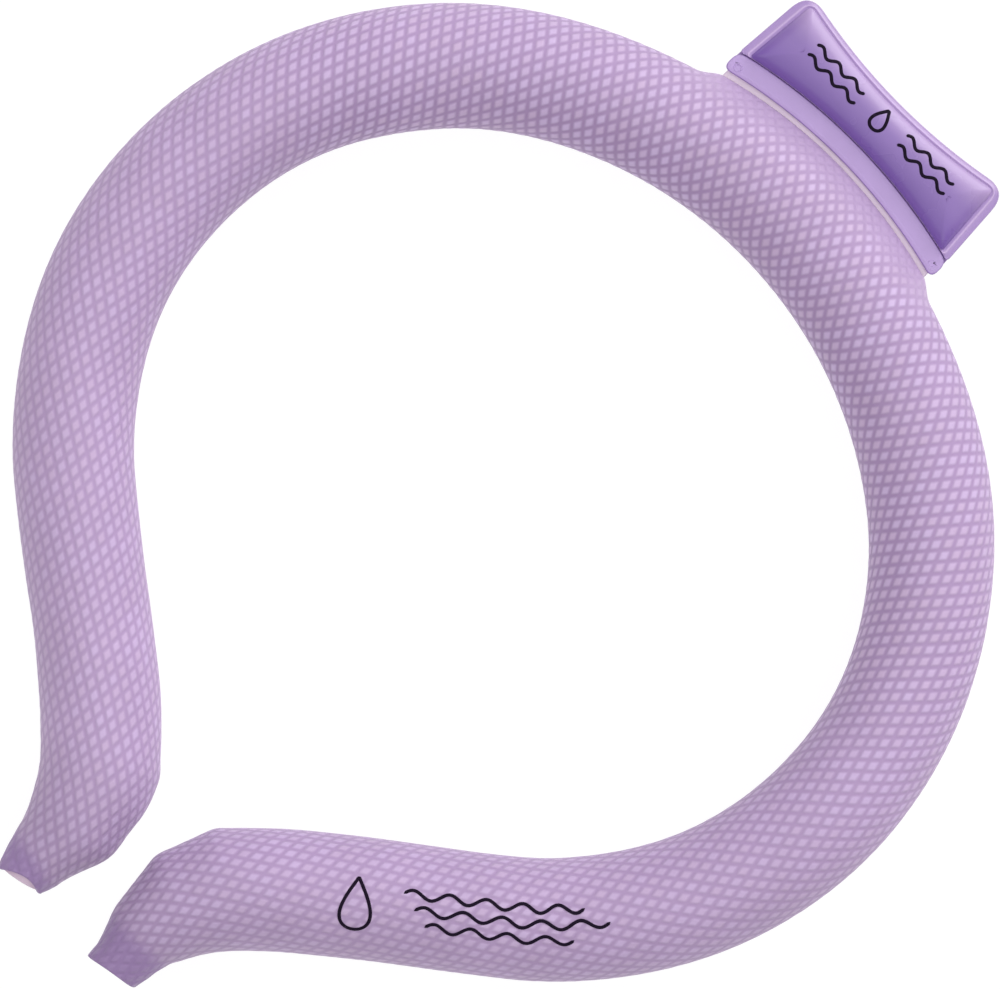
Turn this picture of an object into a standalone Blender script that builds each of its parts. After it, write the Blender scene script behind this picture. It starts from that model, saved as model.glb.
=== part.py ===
"""Cooling neck ring: a gel-filled film tube bent to an open ring, with a welded tag at its back.

The ring lies flat on z = 0, with its mouth towards -Y and its tag towards +Y. It is drawn round the centre
of its back arc, and at the end moved so that the middle of its bounding box's bottom is the origin.
Run with: blender --background --python part.py
"""

from collections import namedtuple
from math import cos, pi, radians, sin, sqrt

import bmesh
import bpy
from mathutils import Vector

# Ring sizes, in metres
NECK_WIDTH = 0.1275
TUBE_DIAMETER = 0.0205
MOUTH_GAP = 0.0054
ELBOW_HOLLOW_RADIUS = 0.0186
TAIL_LENGTH = 0.024
TAIL_STRAIGHT = 0.0074
FILM_THICKNESS = 0.001
PLUG_LENGTH = 0.005
PLUG_BULGE = 0.0006

# Bend of the half ring, from the back to the mouth
BACK_TO_SIDE_RADIUS = 1.345
BACK_TURN = radians(38.05)
LEG_HEADING = radians(141.5)
TAIL_HEADING = radians(91.5)

# Tag sizes, in metres
TAG_FOOT_WIDTH = 0.0484
TAG_TOP_WIDTH = 0.0462
TAG_REACH = 0.0153
TAG_TOP_RISE = 0.0026
TAG_CORNER_RADIUS = 0.0034
TAG_FILM_THICKNESS = 0.001
SIDE_RIM = 0.0018
TOP_RIM = 0.0012
FOOT_RIM = 0.0004
POUCH_CORNER_RADIUS = 0.0008
POUCH_HEIGHT = 0.0022
POUCH_END_SLOPE = 0.005
BAND_WIDTH = 0.0036
BAND_OVERHANG = 0.0001
BAND_CORNER_RADIUS = 0.0012
FLANGE_REVEAL = 0.002
FLANGE_END_SETBACK = 0.0009
FLANGE_CORNER_RADIUS = 0.0005

# Clearance between pieces, in metres
PIECE_GAP = 0.0003

# Points this close on the middle plane are one, in metres
MERGE_DISTANCE = 0.00001

# Fineness of the surfaces. The tube's sides are a multiple of four, so that one lies flat at the bottom.
TUBE_SIDES = 20
STATION_SPACING = 0.009
EDGE_SPACING = 0.0036
FEWEST_EDGE_STEPS = 4
SHARP_ANGLE = radians(40)
CORNER_STEPS = 4

# One row for each section of a tail, from where it begins to narrow to its end. The first value is a share
# of TAIL_LENGTH, the others are shares of the tube's radius.
TailSection = namedtuple("TailSection", "along mouth_half_width outer_half_width half_height")
TAIL_SECTIONS = (
    TailSection(0.00, 1.00, 0.97, 1.00),
    TailSection(0.10, 1.01, 0.94, 0.98),
    TailSection(0.25, 0.93, 0.90, 0.94),
    TailSection(0.40, 0.86, 0.83, 0.87),
    TailSection(0.55, 0.72, 0.75, 0.77),
    TailSection(0.70, 0.59, 0.66, 0.67),
    TailSection(0.85, 0.46, 0.58, 0.57),
    TailSection(1.00, 0.35, 0.50, 0.48),
)

# One row for each ring of the pouch's dome: how far it has come from the pouch's edge to its middle, and
# the height there as a share of POUCH_HEIGHT.
DomeRing = namedtuple("DomeRing", "inward height")
DOME_RINGS = (
    DomeRing(0.00, 0.00),
    DomeRing(0.12, 0.48),
    DomeRing(0.30, 0.72),
    DomeRing(0.55, 0.90),
    DomeRing(0.85, 1.00),
)

Station = namedtuple("Station", "place heading mouth_half_width outer_half_width half_height")

TUBE_RADIUS = TUBE_DIAMETER / 2
WIDEST = NECK_WIDTH / 2 + TUBE_RADIUS
SIDE_RADIUS = WIDEST / (1 + (BACK_TO_SIDE_RADIUS - 1) * sin(BACK_TURN))
BACK_RADIUS = BACK_TO_SIDE_RADIUS * SIDE_RADIUS
ELBOW_RADIUS = ELBOW_HOLLOW_RADIUS + TUBE_RADIUS
TUBE_EDGE_RADIUS = BACK_RADIUS + TUBE_RADIUS
BAND_RADIUS = TUBE_EDGE_RADIUS + FLANGE_REVEAL
CORE_INSET = FILM_THICKNESS + PIECE_GAP
WELD_HEIGHT = TUBE_RADIUS
SHEET_TOP = WELD_HEIGHT + PIECE_GAP / 2
SHEET_BOTTOM = WELD_HEIGHT - PIECE_GAP / 2
UP = Vector((0, 0, 1))

FILM_COLOR = (0.58, 0.46, 0.70, 1)
GEL_COLOR = (0.72, 0.60, 0.80, 1)
PALE_COLOR = (0.80, 0.70, 0.80, 1)
POUCH_COLOR = (0.26, 0.16, 0.44, 1)
BAND_COLOR = (0.52, 0.40, 0.68, 1)


def clear_scene():
    """Removes every object that is in the scene."""
    for thing in list(bpy.data.objects):
        bpy.data.objects.remove(thing, do_unlink=True)


def make_material(name, color, roughness):
    """A Principled material with one plain colour."""
    material = bpy.data.materials.new(name)
    material.use_nodes = True
    shader = material.node_tree.nodes["Principled BSDF"]
    shader.inputs["Base Color"].default_value = color
    shader.inputs["Roughness"].default_value = roughness
    shader.inputs["Metallic"].default_value = 0
    return material


def outward(heading):
    """The unit vector to the left of a clockwise heading, which points out of the ring."""
    return Vector((sin(heading), cos(heading), 0))


def forward(heading):
    """The unit vector along a heading, counted clockwise from +X."""
    return Vector((cos(heading), -sin(heading), 0))


def walk(place, heading, turned, radius, length):
    """The place and heading after a length of a run that turns in (1), turns out (-1) or is straight (0)."""
    if not turned:
        return place + forward(heading) * length, heading
    ahead = heading + turned * length / radius
    return place + turned * radius * (outward(ahead) - outward(heading)), ahead


def ring_runs(leg_length):
    """The half centreline's runs from the back to the tail's end: which way each turns, radius and length."""
    return (
        (1, BACK_RADIUS, BACK_RADIUS * BACK_TURN),
        (1, SIDE_RADIUS, SIDE_RADIUS * (LEG_HEADING - BACK_TURN)),
        (0, 0, leg_length),
        (-1, ELBOW_RADIUS, ELBOW_RADIUS * (LEG_HEADING - TAIL_HEADING)),
        (0, 0, TAIL_STRAIGHT),
    )


def half_length(leg_length):
    """The length of half the centreline."""
    return sum(length for _, _, length in ring_runs(leg_length))


def tail_section(share):
    """The tail's section at a share of its length, between the table's two nearest rows."""
    if share <= 0:
        return TAIL_SECTIONS[0]._replace(mouth_half_width=1, outer_half_width=1)
    before = max((row for row in TAIL_SECTIONS if row.along <= share), key=lambda row: row.along)
    after = min((row for row in TAIL_SECTIONS if row.along >= share), key=lambda row: row.along)
    blend = (share - before.along) / (after.along - before.along) if after != before else 0
    return TailSection(*[a + (b - a) * blend for a, b in zip(before, after)])


def station_at(mark, leg_length):
    """The tube's station at a length from the back along the right half's centreline."""
    place = Vector((0, BACK_RADIUS, WELD_HEIGHT))
    heading = 0
    left = mark
    for turned, radius, length in ring_runs(leg_length):
        place, heading = walk(place, heading, turned, radius, min(left, length))
        left = max(0, left - length)
    share = 1 - (half_length(leg_length) - mark) / TAIL_LENGTH
    row = tail_section(min(1, share))
    return Station(
        place,
        heading,
        row.mouth_half_width * TUBE_RADIUS,
        row.outer_half_width * TUBE_RADIUS,
        row.half_height * TUBE_RADIUS,
    )


def leg_between():
    """The straight leg's length that brings the two tails to MOUTH_GAP at their nearest."""
    trial = TUBE_DIAMETER
    tail_start = half_length(trial) - TAIL_LENGTH
    tail = [station_at(tail_start + TAIL_LENGTH * row.along, trial) for row in TAIL_SECTIONS]
    nearest = min((spot.place - outward(spot.heading) * spot.mouth_half_width).x for spot in tail)
    return trial + (nearest - MOUTH_GAP / 2) / -cos(LEG_HEADING)


def stations_between(start, end):
    """The stations from one length along the half centreline to another, even ones and the tail's rows."""
    plain_length = HALF_LENGTH - TAIL_LENGTH
    count = round(plain_length / STATION_SPACING)
    marks = [plain_length * i / count for i in range(count)]
    marks += [plain_length + TAIL_LENGTH * row.along for row in TAIL_SECTIONS]
    inner = [mark for mark in marks if start + PIECE_GAP < mark < end - PIECE_GAP]
    return [station_at(mark, LEG_LENGTH) for mark in [start, *inner, end]]


LEG_LENGTH = leg_between()
HALF_LENGTH = half_length(LEG_LENGTH)


def tube_ring(spot, inset=0.0, shift=0.0):
    """The points round one section, with its flats on the section's true size and one flat at the bottom."""
    side = outward(spot.heading)
    center = spot.place + forward(spot.heading) * shift
    corner = 1 / cos(pi / TUBE_SIDES)
    points = []
    for i in range(TUBE_SIDES):
        angle = 2 * pi * (i + 0.5) / TUBE_SIDES
        half_width = spot.outer_half_width if cos(angle) > 0 else spot.mouth_half_width
        across = (half_width - inset) * corner * cos(angle)
        up = (spot.half_height - inset) * corner * sin(angle)
        points.append(center + side * across + UP * up)
    return points


def loft(name, rings, material, close_start=False, close_end=False):
    """An object whose surface runs through rings of points, with a face across an end that is closed."""
    mesh = bmesh.new()
    loops = [[mesh.verts.new(point) for point in ring] for ring in rings]
    for near, far in zip(loops, loops[1:]):
        for i, corner in enumerate(near):
            mesh.faces.new((near[i - 1], corner, far[i], far[i - 1]))
    if close_start:
        mesh.faces.new(list(reversed(loops[0])))
    if close_end:
        mesh.faces.new(loops[-1])
    data = bpy.data.meshes.new(name)
    mesh.to_mesh(data)
    mesh.free()
    data.materials.append(material)
    data.shade_smooth()
    data.set_sharp_from_angle(angle=SHARP_ANGLE)
    piece = bpy.data.objects.new(name, data)
    parts.objects.link(piece)
    return piece


def mirror_half(piece):
    """Completes a half that is open at x = 0."""
    mirror = piece.modifiers.new("both halves", "MIRROR")
    mirror.merge_threshold = MERGE_DISTANCE
    mirror.use_clip = True


def thicken(piece, thickness, inwards):
    """Makes an open surface a wall, to the back of its faces or to their front."""
    solid = piece.modifiers.new("wall", "SOLIDIFY")
    solid.thickness = thickness
    solid.offset = -1 if inwards else 1
    solid.use_even_offset = True


def make_film_sleeve():
    """The printed film tube, open at both tail ends."""
    rings = [tube_ring(spot) for spot in stations_between(0, HALF_LENGTH)]
    sleeve = loft("film_sleeve", rings, film)
    mirror_half(sleeve)
    thicken(sleeve, FILM_THICKNESS, inwards=True)
    return sleeve


def make_gel_core():
    """The filling, clear of the sleeve all round and of both end plugs."""
    core_end = HALF_LENGTH - PLUG_LENGTH - PIECE_GAP
    rings = [tube_ring(spot, CORE_INSET) for spot in stations_between(0, core_end)]
    core = loft("gel_core", rings, gel, close_end=True)
    mirror_half(core)
    return core


def make_end_plug(name, side):
    """The pale seal in one tail's end, with a low bulge past the film. side is 1 at +X and -1 at -X."""
    stations = stations_between(HALF_LENGTH - PLUG_LENGTH, HALF_LENGTH)
    rings = [tube_ring(spot, CORE_INSET) for spot in stations]
    rings.append(tube_ring(stations[-1], CORE_INSET + PLUG_BULGE, PLUG_BULGE))
    if side < 0:
        rings = [[Vector((-point.x, point.y, point.z)) for point in reversed(ring)] for ring in rings]
    return loft(name, rings, pale, close_start=True, close_end=True)


def foot_edge(radius, half_width, count):
    """Points along an arc about the back arc's centre, from -half_width to half_width in X."""
    steps = [half_width * (2 * i / count - 1) for i in range(count + 1)]
    return [Vector((x, sqrt(radius**2 - x**2), 0)) for x in steps]


def top_height(x, inset):
    """How far the tag's top edge lies from the back arc's centre in Y, at one X."""
    return TUBE_EDGE_RADIUS + TAG_REACH - inset + TAG_TOP_RISE * (2 * x / TAG_TOP_WIDTH) ** 2


def edge_count(length):
    """How many steps a long edge of the tag takes."""
    return max(FEWEST_EDGE_STEPS, round(length / EDGE_SPACING))


def rounded(before, corner, after, radius):
    """Points round a corner between two edges that meet there, cut back by the radius along both."""
    start = corner + (before - corner).normalized() * radius
    end = corner + (after - corner).normalized() * radius
    steps = [i / CORNER_STEPS for i in range(CORNER_STEPS + 1)]
    return [start.lerp(corner, t).lerp(corner.lerp(end, t), t) for t in steps]


def round_corners(edges, radii):
    """The closed outline of edges that run on from one another, with each edge's first corner rounded."""
    outline = []
    for i, edge in enumerate(edges):
        corner = edge[0]
        outline += rounded(edges[i - 1][-2], corner, edge[1], radii[i])
        next_radius = radii[(i + 1) % len(radii)]
        for point in edge[1:-1]:
            far_enough = (point - corner).length > radii[i] and (point - edge[-1]).length > next_radius
            if far_enough:
                outline.append(point)
    return outline


def tag_outline(foot_radius, side_inset, top_inset, foot_corner, top_corner):
    """The tag's outline in plan: an arc foot, sides that lean in, and a top edge that dips in its middle."""
    top_half = TAG_TOP_WIDTH / 2 - side_inset
    count = edge_count(TAG_FOOT_WIDTH)
    foot = foot_edge(foot_radius, TAG_FOOT_WIDTH / 2 - side_inset, count)
    across = [top_half * (1 - 2 * i / count) for i in range(count + 1)]
    top = [Vector((x, top_height(x, top_inset), 0)) for x in across]
    side_steps = edge_count(TAG_REACH)
    right = [foot[-1].lerp(top[0], i / side_steps) for i in range(side_steps + 1)]
    left = [top[-1].lerp(foot[0], i / side_steps) for i in range(side_steps + 1)]
    return round_corners([foot, right, top, left], [foot_corner, foot_corner, top_corner, top_corner])


def spine_point(point, spine_half, foot_radius):
    """The point of the pouch's middle line that is nearest in X to a point of its outline."""
    x = max(-spine_half, min(spine_half, point.x))
    foot = sqrt(foot_radius**2 - x**2)
    return Vector((x, (foot + top_height(x, TOP_RIM)) / 2, 0))


def make_tag_film(name, foot_radius, side, material):
    """One film of the tag, a flat rim round a dome. side is 1 for the film above the weld, -1 for below."""
    pouch_foot = BAND_RADIUS + BAND_WIDTH + PIECE_GAP + FOOT_RIM
    rim = tag_outline(foot_radius, 0, 0, POUCH_CORNER_RADIUS, TAG_CORNER_RADIUS)
    pouch = tag_outline(pouch_foot, SIDE_RIM, TOP_RIM, POUCH_CORNER_RADIUS, POUCH_CORNER_RADIUS)
    level = SHEET_TOP if side > 0 else SHEET_BOTTOM
    spine_half = TAG_TOP_WIDTH / 2 - SIDE_RIM - POUCH_END_SLOPE
    rings = [[Vector((point.x, point.y, level)) for point in rim]]
    for row in DOME_RINGS:
        height = level + side * POUCH_HEIGHT * row.height
        ring = [point.lerp(spine_point(point, spine_half, pouch_foot), row.inward) for point in pouch]
        rings.append([Vector((point.x, point.y, height)) for point in ring])
    if side < 0:
        rings = [list(reversed(ring)) for ring in rings]
    sheet = loft(name, rings, material, close_end=True)
    thicken(sheet, TAG_FILM_THICKNESS, inwards=False)
    return sheet


def make_strip(name, inner_radius, outer_radius, half_width, top, end_radius, material):
    """A flat curved strip along the back arc with its four corners rounded, as an extruded outline."""
    count = edge_count(TAG_FOOT_WIDTH)
    inner = foot_edge(inner_radius, half_width, count)
    outer = list(reversed(foot_edge(outer_radius, half_width, count)))
    right_end = [inner[-1], inner[-1].lerp(outer[0], 0.5), outer[0]]
    left_end = [outer[-1], outer[-1].lerp(inner[0], 0.5), inner[0]]
    outline = round_corners([inner, right_end, outer, left_end], [end_radius] * 4)
    curve = bpy.data.curves.new(name, "CURVE")
    curve.dimensions = "2D"
    curve.fill_mode = "BOTH"
    curve.extrude = TAG_FILM_THICKNESS / 2
    spline = curve.splines.new("POLY")
    spline.points.add(len(outline) - 1)
    for spot, point in zip(spline.points, outline):
        spot.co = (point.x, point.y, 0, 1)
    spline.use_cyclic_u = True
    curve.materials.append(material)
    strip = bpy.data.objects.new(name, curve)
    strip.location.z = top - TAG_FILM_THICKNESS / 2
    parts.objects.link(strip)
    return strip


def make_tag():
    """The weld margin on the tube, the tag's two films and the band that joins them."""
    joint_radius = BAND_RADIUS + BAND_WIDTH / 2
    half_width = TAG_FOOT_WIDTH / 2 + BAND_OVERHANG
    flange = make_strip(
        "seam_flange",
        TUBE_EDGE_RADIUS + PIECE_GAP,
        joint_radius - PIECE_GAP / 2,
        half_width - FLANGE_END_SETBACK,
        SHEET_BOTTOM,
        FLANGE_CORNER_RADIUS,
        pale,
    )
    band = make_strip(
        "tag_band",
        BAND_RADIUS,
        BAND_RADIUS + BAND_WIDTH,
        half_width,
        SHEET_TOP + TAG_FILM_THICKNESS,
        BAND_CORNER_RADIUS,
        band_look,
    )
    back = make_tag_film("tag_back_film", joint_radius + PIECE_GAP / 2, -1, band_look)
    front = make_tag_film("tag_front_film", BAND_RADIUS + BAND_WIDTH + PIECE_GAP, 1, pouch_look)
    return [flange, band, back, front]


def shape_points(piece, graph):
    """The points of one piece's finished shape."""
    shape = piece.evaluated_get(graph)
    points = [shape.matrix_world @ corner.co for corner in shape.to_mesh().vertices]
    shape.to_mesh_clear()
    return points


def center_on_origin(pieces):
    """Moves the pieces, by the empty that they hang on, to have their box's bottom middle at the origin."""
    bpy.context.view_layer.update()
    graph = bpy.context.evaluated_depsgraph_get()
    points = [point for piece in pieces for point in shape_points(piece, graph)]
    low = [min(point[axis] for point in points) for axis in range(3)]
    high = [max(point[axis] for point in points) for axis in range(3)]
    ring_frame = bpy.data.objects.new("ring_frame", None)
    ring_frame.location = (-(low[0] + high[0]) / 2, -(low[1] + high[1]) / 2, -low[2])
    parts.objects.link(ring_frame)
    for piece in pieces:
        piece.parent = ring_frame


clear_scene()
parts = bpy.data.collections.new("cooling neck ring")
bpy.context.scene.collection.children.link(parts)

film = make_material("printed film", FILM_COLOR, 0.4)
gel = make_material("gel", GEL_COLOR, 0.3)
pale = make_material("clear film", PALE_COLOR, 0.35)
pouch_look = make_material("pouch film", POUCH_COLOR, 0.25)
band_look = make_material("welded film", BAND_COLOR, 0.4)

ring_pieces = [
    make_film_sleeve(),
    make_gel_core(),
    make_end_plug("right_end_plug", 1),
    make_end_plug("left_end_plug", -1),
]
center_on_origin(ring_pieces + make_tag())
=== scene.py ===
"""Looks of the cooling neck ring: printed film tube, sealed tail ends and puffed welded tag.

The ring lies flat on a pale floor and is seen from straight above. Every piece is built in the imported
model's own frame, in metres, with +Z up and the tag towards +Y.
"""

import logging
from dataclasses import dataclass
from enum import Enum
from math import atan2, cos, pi, radians, sin

import bpy
import numpy as np
from numpy.typing import NDArray
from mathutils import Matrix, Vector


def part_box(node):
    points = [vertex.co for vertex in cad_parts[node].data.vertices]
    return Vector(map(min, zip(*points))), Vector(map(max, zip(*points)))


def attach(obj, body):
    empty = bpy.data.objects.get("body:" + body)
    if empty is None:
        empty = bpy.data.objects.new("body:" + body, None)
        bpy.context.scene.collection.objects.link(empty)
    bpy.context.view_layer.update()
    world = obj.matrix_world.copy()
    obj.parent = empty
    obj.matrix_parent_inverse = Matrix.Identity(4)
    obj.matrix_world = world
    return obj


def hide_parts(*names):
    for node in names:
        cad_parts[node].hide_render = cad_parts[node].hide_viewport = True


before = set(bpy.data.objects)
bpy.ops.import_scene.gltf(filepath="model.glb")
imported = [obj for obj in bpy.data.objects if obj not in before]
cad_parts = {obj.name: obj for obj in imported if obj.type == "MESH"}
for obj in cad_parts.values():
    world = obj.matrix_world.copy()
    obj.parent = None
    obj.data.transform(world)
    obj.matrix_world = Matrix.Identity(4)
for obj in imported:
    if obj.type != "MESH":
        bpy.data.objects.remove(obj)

Array = NDArray[np.float64]
Color = tuple[float, float, float]
Steps = tuple[float, ...]

log = logging.getLogger("neck_ring")


class Side(Enum):
    """The two halves of the ring, by the sign of their X."""

    LEFT = -1
    RIGHT = 1


class Layer(Enum):
    """The tag's two films, by the way that each puffs."""

    FRONT = 1
    BACK = -1


# Shader maths


class Wire:
    """A socket of a node sheet that Python's operators can be used on."""

    def __init__(self, sheet: "NodeSheet", socket: bpy.types.NodeSocket) -> None:
        """Keeps the sheet and the socket.

        Args:
            sheet: the node sheet that the socket is on.
            socket: an output socket with one number.
        """
        self.sheet = sheet
        self.socket = socket

    def __add__(self, other: "Wire | float") -> "Wire":
        """This value plus another."""
        return self.sheet.math("ADD", self, other)

    __radd__ = __add__

    def __sub__(self, other: "Wire | float") -> "Wire":
        """This value minus another."""
        return self.sheet.math("SUBTRACT", self, other)

    def __rsub__(self, other: float) -> "Wire":
        """A number minus this value."""
        return self.sheet.math("SUBTRACT", other, self)

    def __mul__(self, other: "Wire | float") -> "Wire":
        """This value times another."""
        return self.sheet.math("MULTIPLY", self, other)

    __rmul__ = __mul__

    def __truediv__(self, other: "Wire | float") -> "Wire":
        """This value over another."""
        return self.sheet.math("DIVIDE", self, other)

    def __abs__(self) -> "Wire":
        """This value without its sign."""
        return self.sheet.math("ABSOLUTE", self)

    def fraction(self) -> "Wire":
        """What is left of this value above its whole number."""
        return self.sheet.math("FRACT", self)

    def rise(self, low: float, high: float) -> "Wire":
        """A smooth step of this value, 0 below low and 1 above high."""
        settings = {"interpolation_type": "SMOOTHSTEP"}
        sockets = {"Value": self, "From Min": low, "From Max": high}
        return self.sheet.wire(self.sheet.add("ShaderNodeMapRange", settings, sockets), "Result")


class NodeSheet:
    """A new material and the nodes on it."""

    def __init__(self, name: str) -> None:
        """Makes a material with one Principled shader.

        Args:
            name: the material's name.
        """
        self.material = bpy.data.materials.new(name)
        self.material.use_nodes = True
        self.tree = self.material.node_tree
        self.shader = self.tree.nodes["Principled BSDF"]

    def add(self, kind: str, settings: dict | None = None, sockets: dict | None = None) -> bpy.types.Node:
        """Adds a node of any type.

        Args:
            kind: the node's type.
            settings: the node's own options, which are set first.
            sockets: values or wires for its inputs, by name or number.

        Returns:
            The new node.
        """
        node = self.tree.nodes.new(kind)
        for key, value in (settings or {}).items():
            setattr(node, key, value)
        for key, value in (sockets or {}).items():
            self.feed(node.inputs[key], value)
        return node

    def feed(self, target: bpy.types.NodeSocket, value: object) -> None:
        """Sets an input to a number, a colour or a wire.

        Args:
            target: the input socket.
            value: a Wire, a number, a colour of three values or a vector.
        """
        if isinstance(value, Wire):
            self.tree.links.new(value.socket, target)
        elif isinstance(value, tuple) and target.type == "RGBA":
            target.default_value = (*value, 1)
        else:
            target.default_value = value

    def wire(self, node: bpy.types.Node, output: str | int = 0) -> Wire:
        """One output of a node, as a wire."""
        return Wire(self, node.outputs[output])

    def math(self, operation: str, *values: Wire | float) -> Wire:
        """The result of a Math node on one or two values."""
        return self.wire(self.add("ShaderNodeMath", {"operation": operation}, dict(enumerate(values))))

    def blend(self, share: Wire | float, low: Wire | Color, high: Wire | Color) -> Wire:
        """A colour between two colours.

        Args:
            share: 0 gives the low colour and 1 the high one.
            low: the first colour.
            high: the second colour.

        Returns:
            The mixed colour.
        """
        sockets = {"Factor": share, 6: low, 7: high}
        return self.wire(self.add("ShaderNodeMix", {"data_type": "RGBA"}, sockets), 2)

    def shade(self, color: Wire, amount: Wire) -> Wire:
        """A colour times one number."""
        node = self.add("ShaderNodeVectorMath", {"operation": "SCALE"}, {0: color, "Scale": amount})
        return self.wire(node)

    def place(self) -> Wire:
        """The point on the piece, in metres."""
        return self.wire(self.add("ShaderNodeTexCoord"), "Object")

    def grain(self, scale: float, detail: float, stretch: Color = (1, 1, 1)) -> Wire:
        """Noise over the piece, between about 0.3 and 0.7.

        Args:
            scale: how many bumps there are to a metre.
            detail: how many finer layers there are.
            stretch: how much finer the noise is along X, Y and Z.

        Returns:
            The noise value.
        """
        mapping = self.add("ShaderNodeMapping", None, {"Vector": self.place(), "Scale": stretch})
        sockets = {"Vector": self.wire(mapping), "Scale": scale, "Detail": detail}
        return self.wire(self.add("ShaderNodeTexNoise", None, sockets), 0)

    def attribute(self, name: str) -> Wire:
        """A number that the mesh keeps at each point."""
        return self.wire(self.add("ShaderNodeAttribute", {"attribute_name": name}), "Fac")

    def bump(self, height: Wire, distance: float, strength: float = 1.0) -> Wire:
        """A bumped normal.

        Args:
            height: the height, from 0 to 1.
            distance: what a height of 1 is, in metres.
            strength: how much of the bump is used.

        Returns:
            The normal.
        """
        sockets = {"Height": height, "Distance": distance, "Strength": strength}
        return self.wire(self.add("ShaderNodeBump", None, sockets), 0)

    def finish(self, **sockets: object) -> bpy.types.Material:
        """Feeds the Principled shader.

        Args:
            sockets: a value or wire for each input, with _ for a space in its name.

        Returns:
            The finished material.
        """
        for name, value in sockets.items():
            self.feed(self.shader.inputs[name.replace("_", " ")], value)
        return self.material


# Finishes


@dataclass(frozen=True)
class PrintedFilm:
    """Satin film over cloudy gel, printed with a lattice of lines that leaves small clear windows."""

    line_color: Color = (0.375, 0.250, 0.455)
    window_color: Color = (0.680, 0.515, 0.725)
    cool_window_color: Color = (0.635, 0.490, 0.755)
    faded_color: Color = (0.515, 0.376, 0.595)
    tip_color: Color = (0.350, 0.225, 0.470)
    half_line: float = 0.18
    softness: float = 0.15
    line_relief: float = 0.00014
    roughness: float = 0.5

    def window(self, phase: Wire) -> Wire:
        """1 between two lines of one family and 0 on a line, with soft sides."""
        from_middle = abs(phase.fraction() - 0.5)
        edge = 0.5 - self.half_line
        return 1 - from_middle.rise(edge - self.softness, edge + self.softness)

    def dress(self) -> bpy.types.Material:
        """The material. A window is the product of the two families' gaps, each with its own slight tint."""
        sheet = NodeSheet("printed film")
        lattice = sheet.wire(sheet.add("ShaderNodeUVMap", {"uv_map": "lattice"}))
        phases = sheet.add("ShaderNodeSeparateXYZ", None, {0: lattice})
        window = self.window(sheet.wire(phases, 0)) * self.window(sheet.wire(phases, 1))
        cell = sheet.wire(sheet.add("ShaderNodeVectorMath", {"operation": "FLOOR"}, {0: lattice}))
        chance = sheet.wire(sheet.add("ShaderNodeTexWhiteNoise", None, {"Vector": cell}), "Value")
        clouds = sheet.grain(90, 3)
        drift = sheet.grain(45, 2)
        flecks = sheet.grain(900, 2)
        clear = sheet.blend((chance * 0.5 + drift).rise(0.35, 1.1), self.window_color, self.cool_window_color)
        seen = sheet.blend(window * (0.78 + chance * 0.22), self.line_color, clear)
        strength = sheet.attribute("print") * (0.75 + drift * 0.5)
        printed = sheet.blend(strength, self.faded_color, seen)
        tipped = sheet.blend(sheet.attribute("tip"), printed, self.tip_color)
        # The depth darkening is painted shade on the right leg and the film's own deeper colour in the tails.
        tint = (0.88 + clouds * 0.18 + flecks * 0.06) * (1 - sheet.attribute("depth") * 0.3)
        grain = sheet.grain(2600, 2)
        relief = sheet.bump(window * 0.9 + grain * 0.12, self.line_relief, 0.8)
        gloss = self.roughness - window * 0.06 + (clouds - 0.5) * 0.12
        color = sheet.shade(tipped, tint)
        return sheet.finish(Base_Color=color, Roughness=gloss, Normal=relief, Specular_IOR_Level=0.3)


@dataclass(frozen=True)
class WeldedFilm:
    """Two films welded flat: a lighter satin skin with fine grain, and deeper colour where it is pressed."""

    name: str
    color: Color
    pressed_color: Color
    roughness: float = 0.36

    def dress(self) -> bpy.types.Material:
        """The material. The mesh's "pressed" value, from 0 to 1, draws in the deeper colour."""
        sheet = NodeSheet(self.name)
        clouds = sheet.grain(160, 3)
        skin = sheet.blend(sheet.attribute("pressed"), self.color, self.pressed_color)
        relief = sheet.bump(sheet.grain(1500, 3), 0.00004, 0.5)
        gloss = self.roughness + (clouds - 0.5) * 0.1
        color = sheet.shade(skin, 0.92 + clouds * 0.16)
        return sheet.finish(Base_Color=color, Roughness=gloss, Normal=relief)


@dataclass(frozen=True)
class PouchFilm:
    """Glossy film puffed over the tag's filling, deep where it bulges and pale on its welded rim, with
    painted shade towards its foot and painted light on its far slope.
    """

    rim_color: Color = (0.400, 0.270, 0.565)
    bead_color: Color = (0.590, 0.440, 0.715)
    # Painted shade at the foot and painted light on the far slope; the middle colour is the pouch's own.
    shaded_foot_color: Color = (0.190, 0.100, 0.390)
    middle_color: Color = (0.262, 0.162, 0.445)
    lit_far_color: Color = (0.470, 0.335, 0.600)
    roughness: float = 0.27

    def dress(self) -> bpy.types.Material:
        """The material. "rim" is 1 on the weld, and "across" runs from the foot at 0 to the far edge at 1;
        along it the colour is painted shade at the foot and painted light on the far slope.
        """
        sheet = NodeSheet("pouch film")
        across = sheet.attribute("across")
        # painted shade: the pouch is darkened towards its foot, which faces away from the key
        near = sheet.blend(across.rise(0.0, 0.55), self.shaded_foot_color, self.middle_color)
        # painted light: the pouch is paled towards its far slope, which faces the key
        film = sheet.blend(across.rise(0.5, 1.02), near, self.lit_far_color)
        weld = sheet.blend(sheet.attribute("bead"), self.rim_color, self.bead_color)
        skin = sheet.blend(sheet.attribute("rim"), film, weld)
        clouds = sheet.grain(140, 3)
        relief = sheet.bump(sheet.grain(1200, 2), 0.00003, 0.4)
        gloss = self.roughness + (clouds - 0.5) * 0.08
        color = sheet.shade(skin, 0.93 + clouds * 0.14)
        return sheet.finish(Base_Color=color, Roughness=gloss, Normal=relief)


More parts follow.
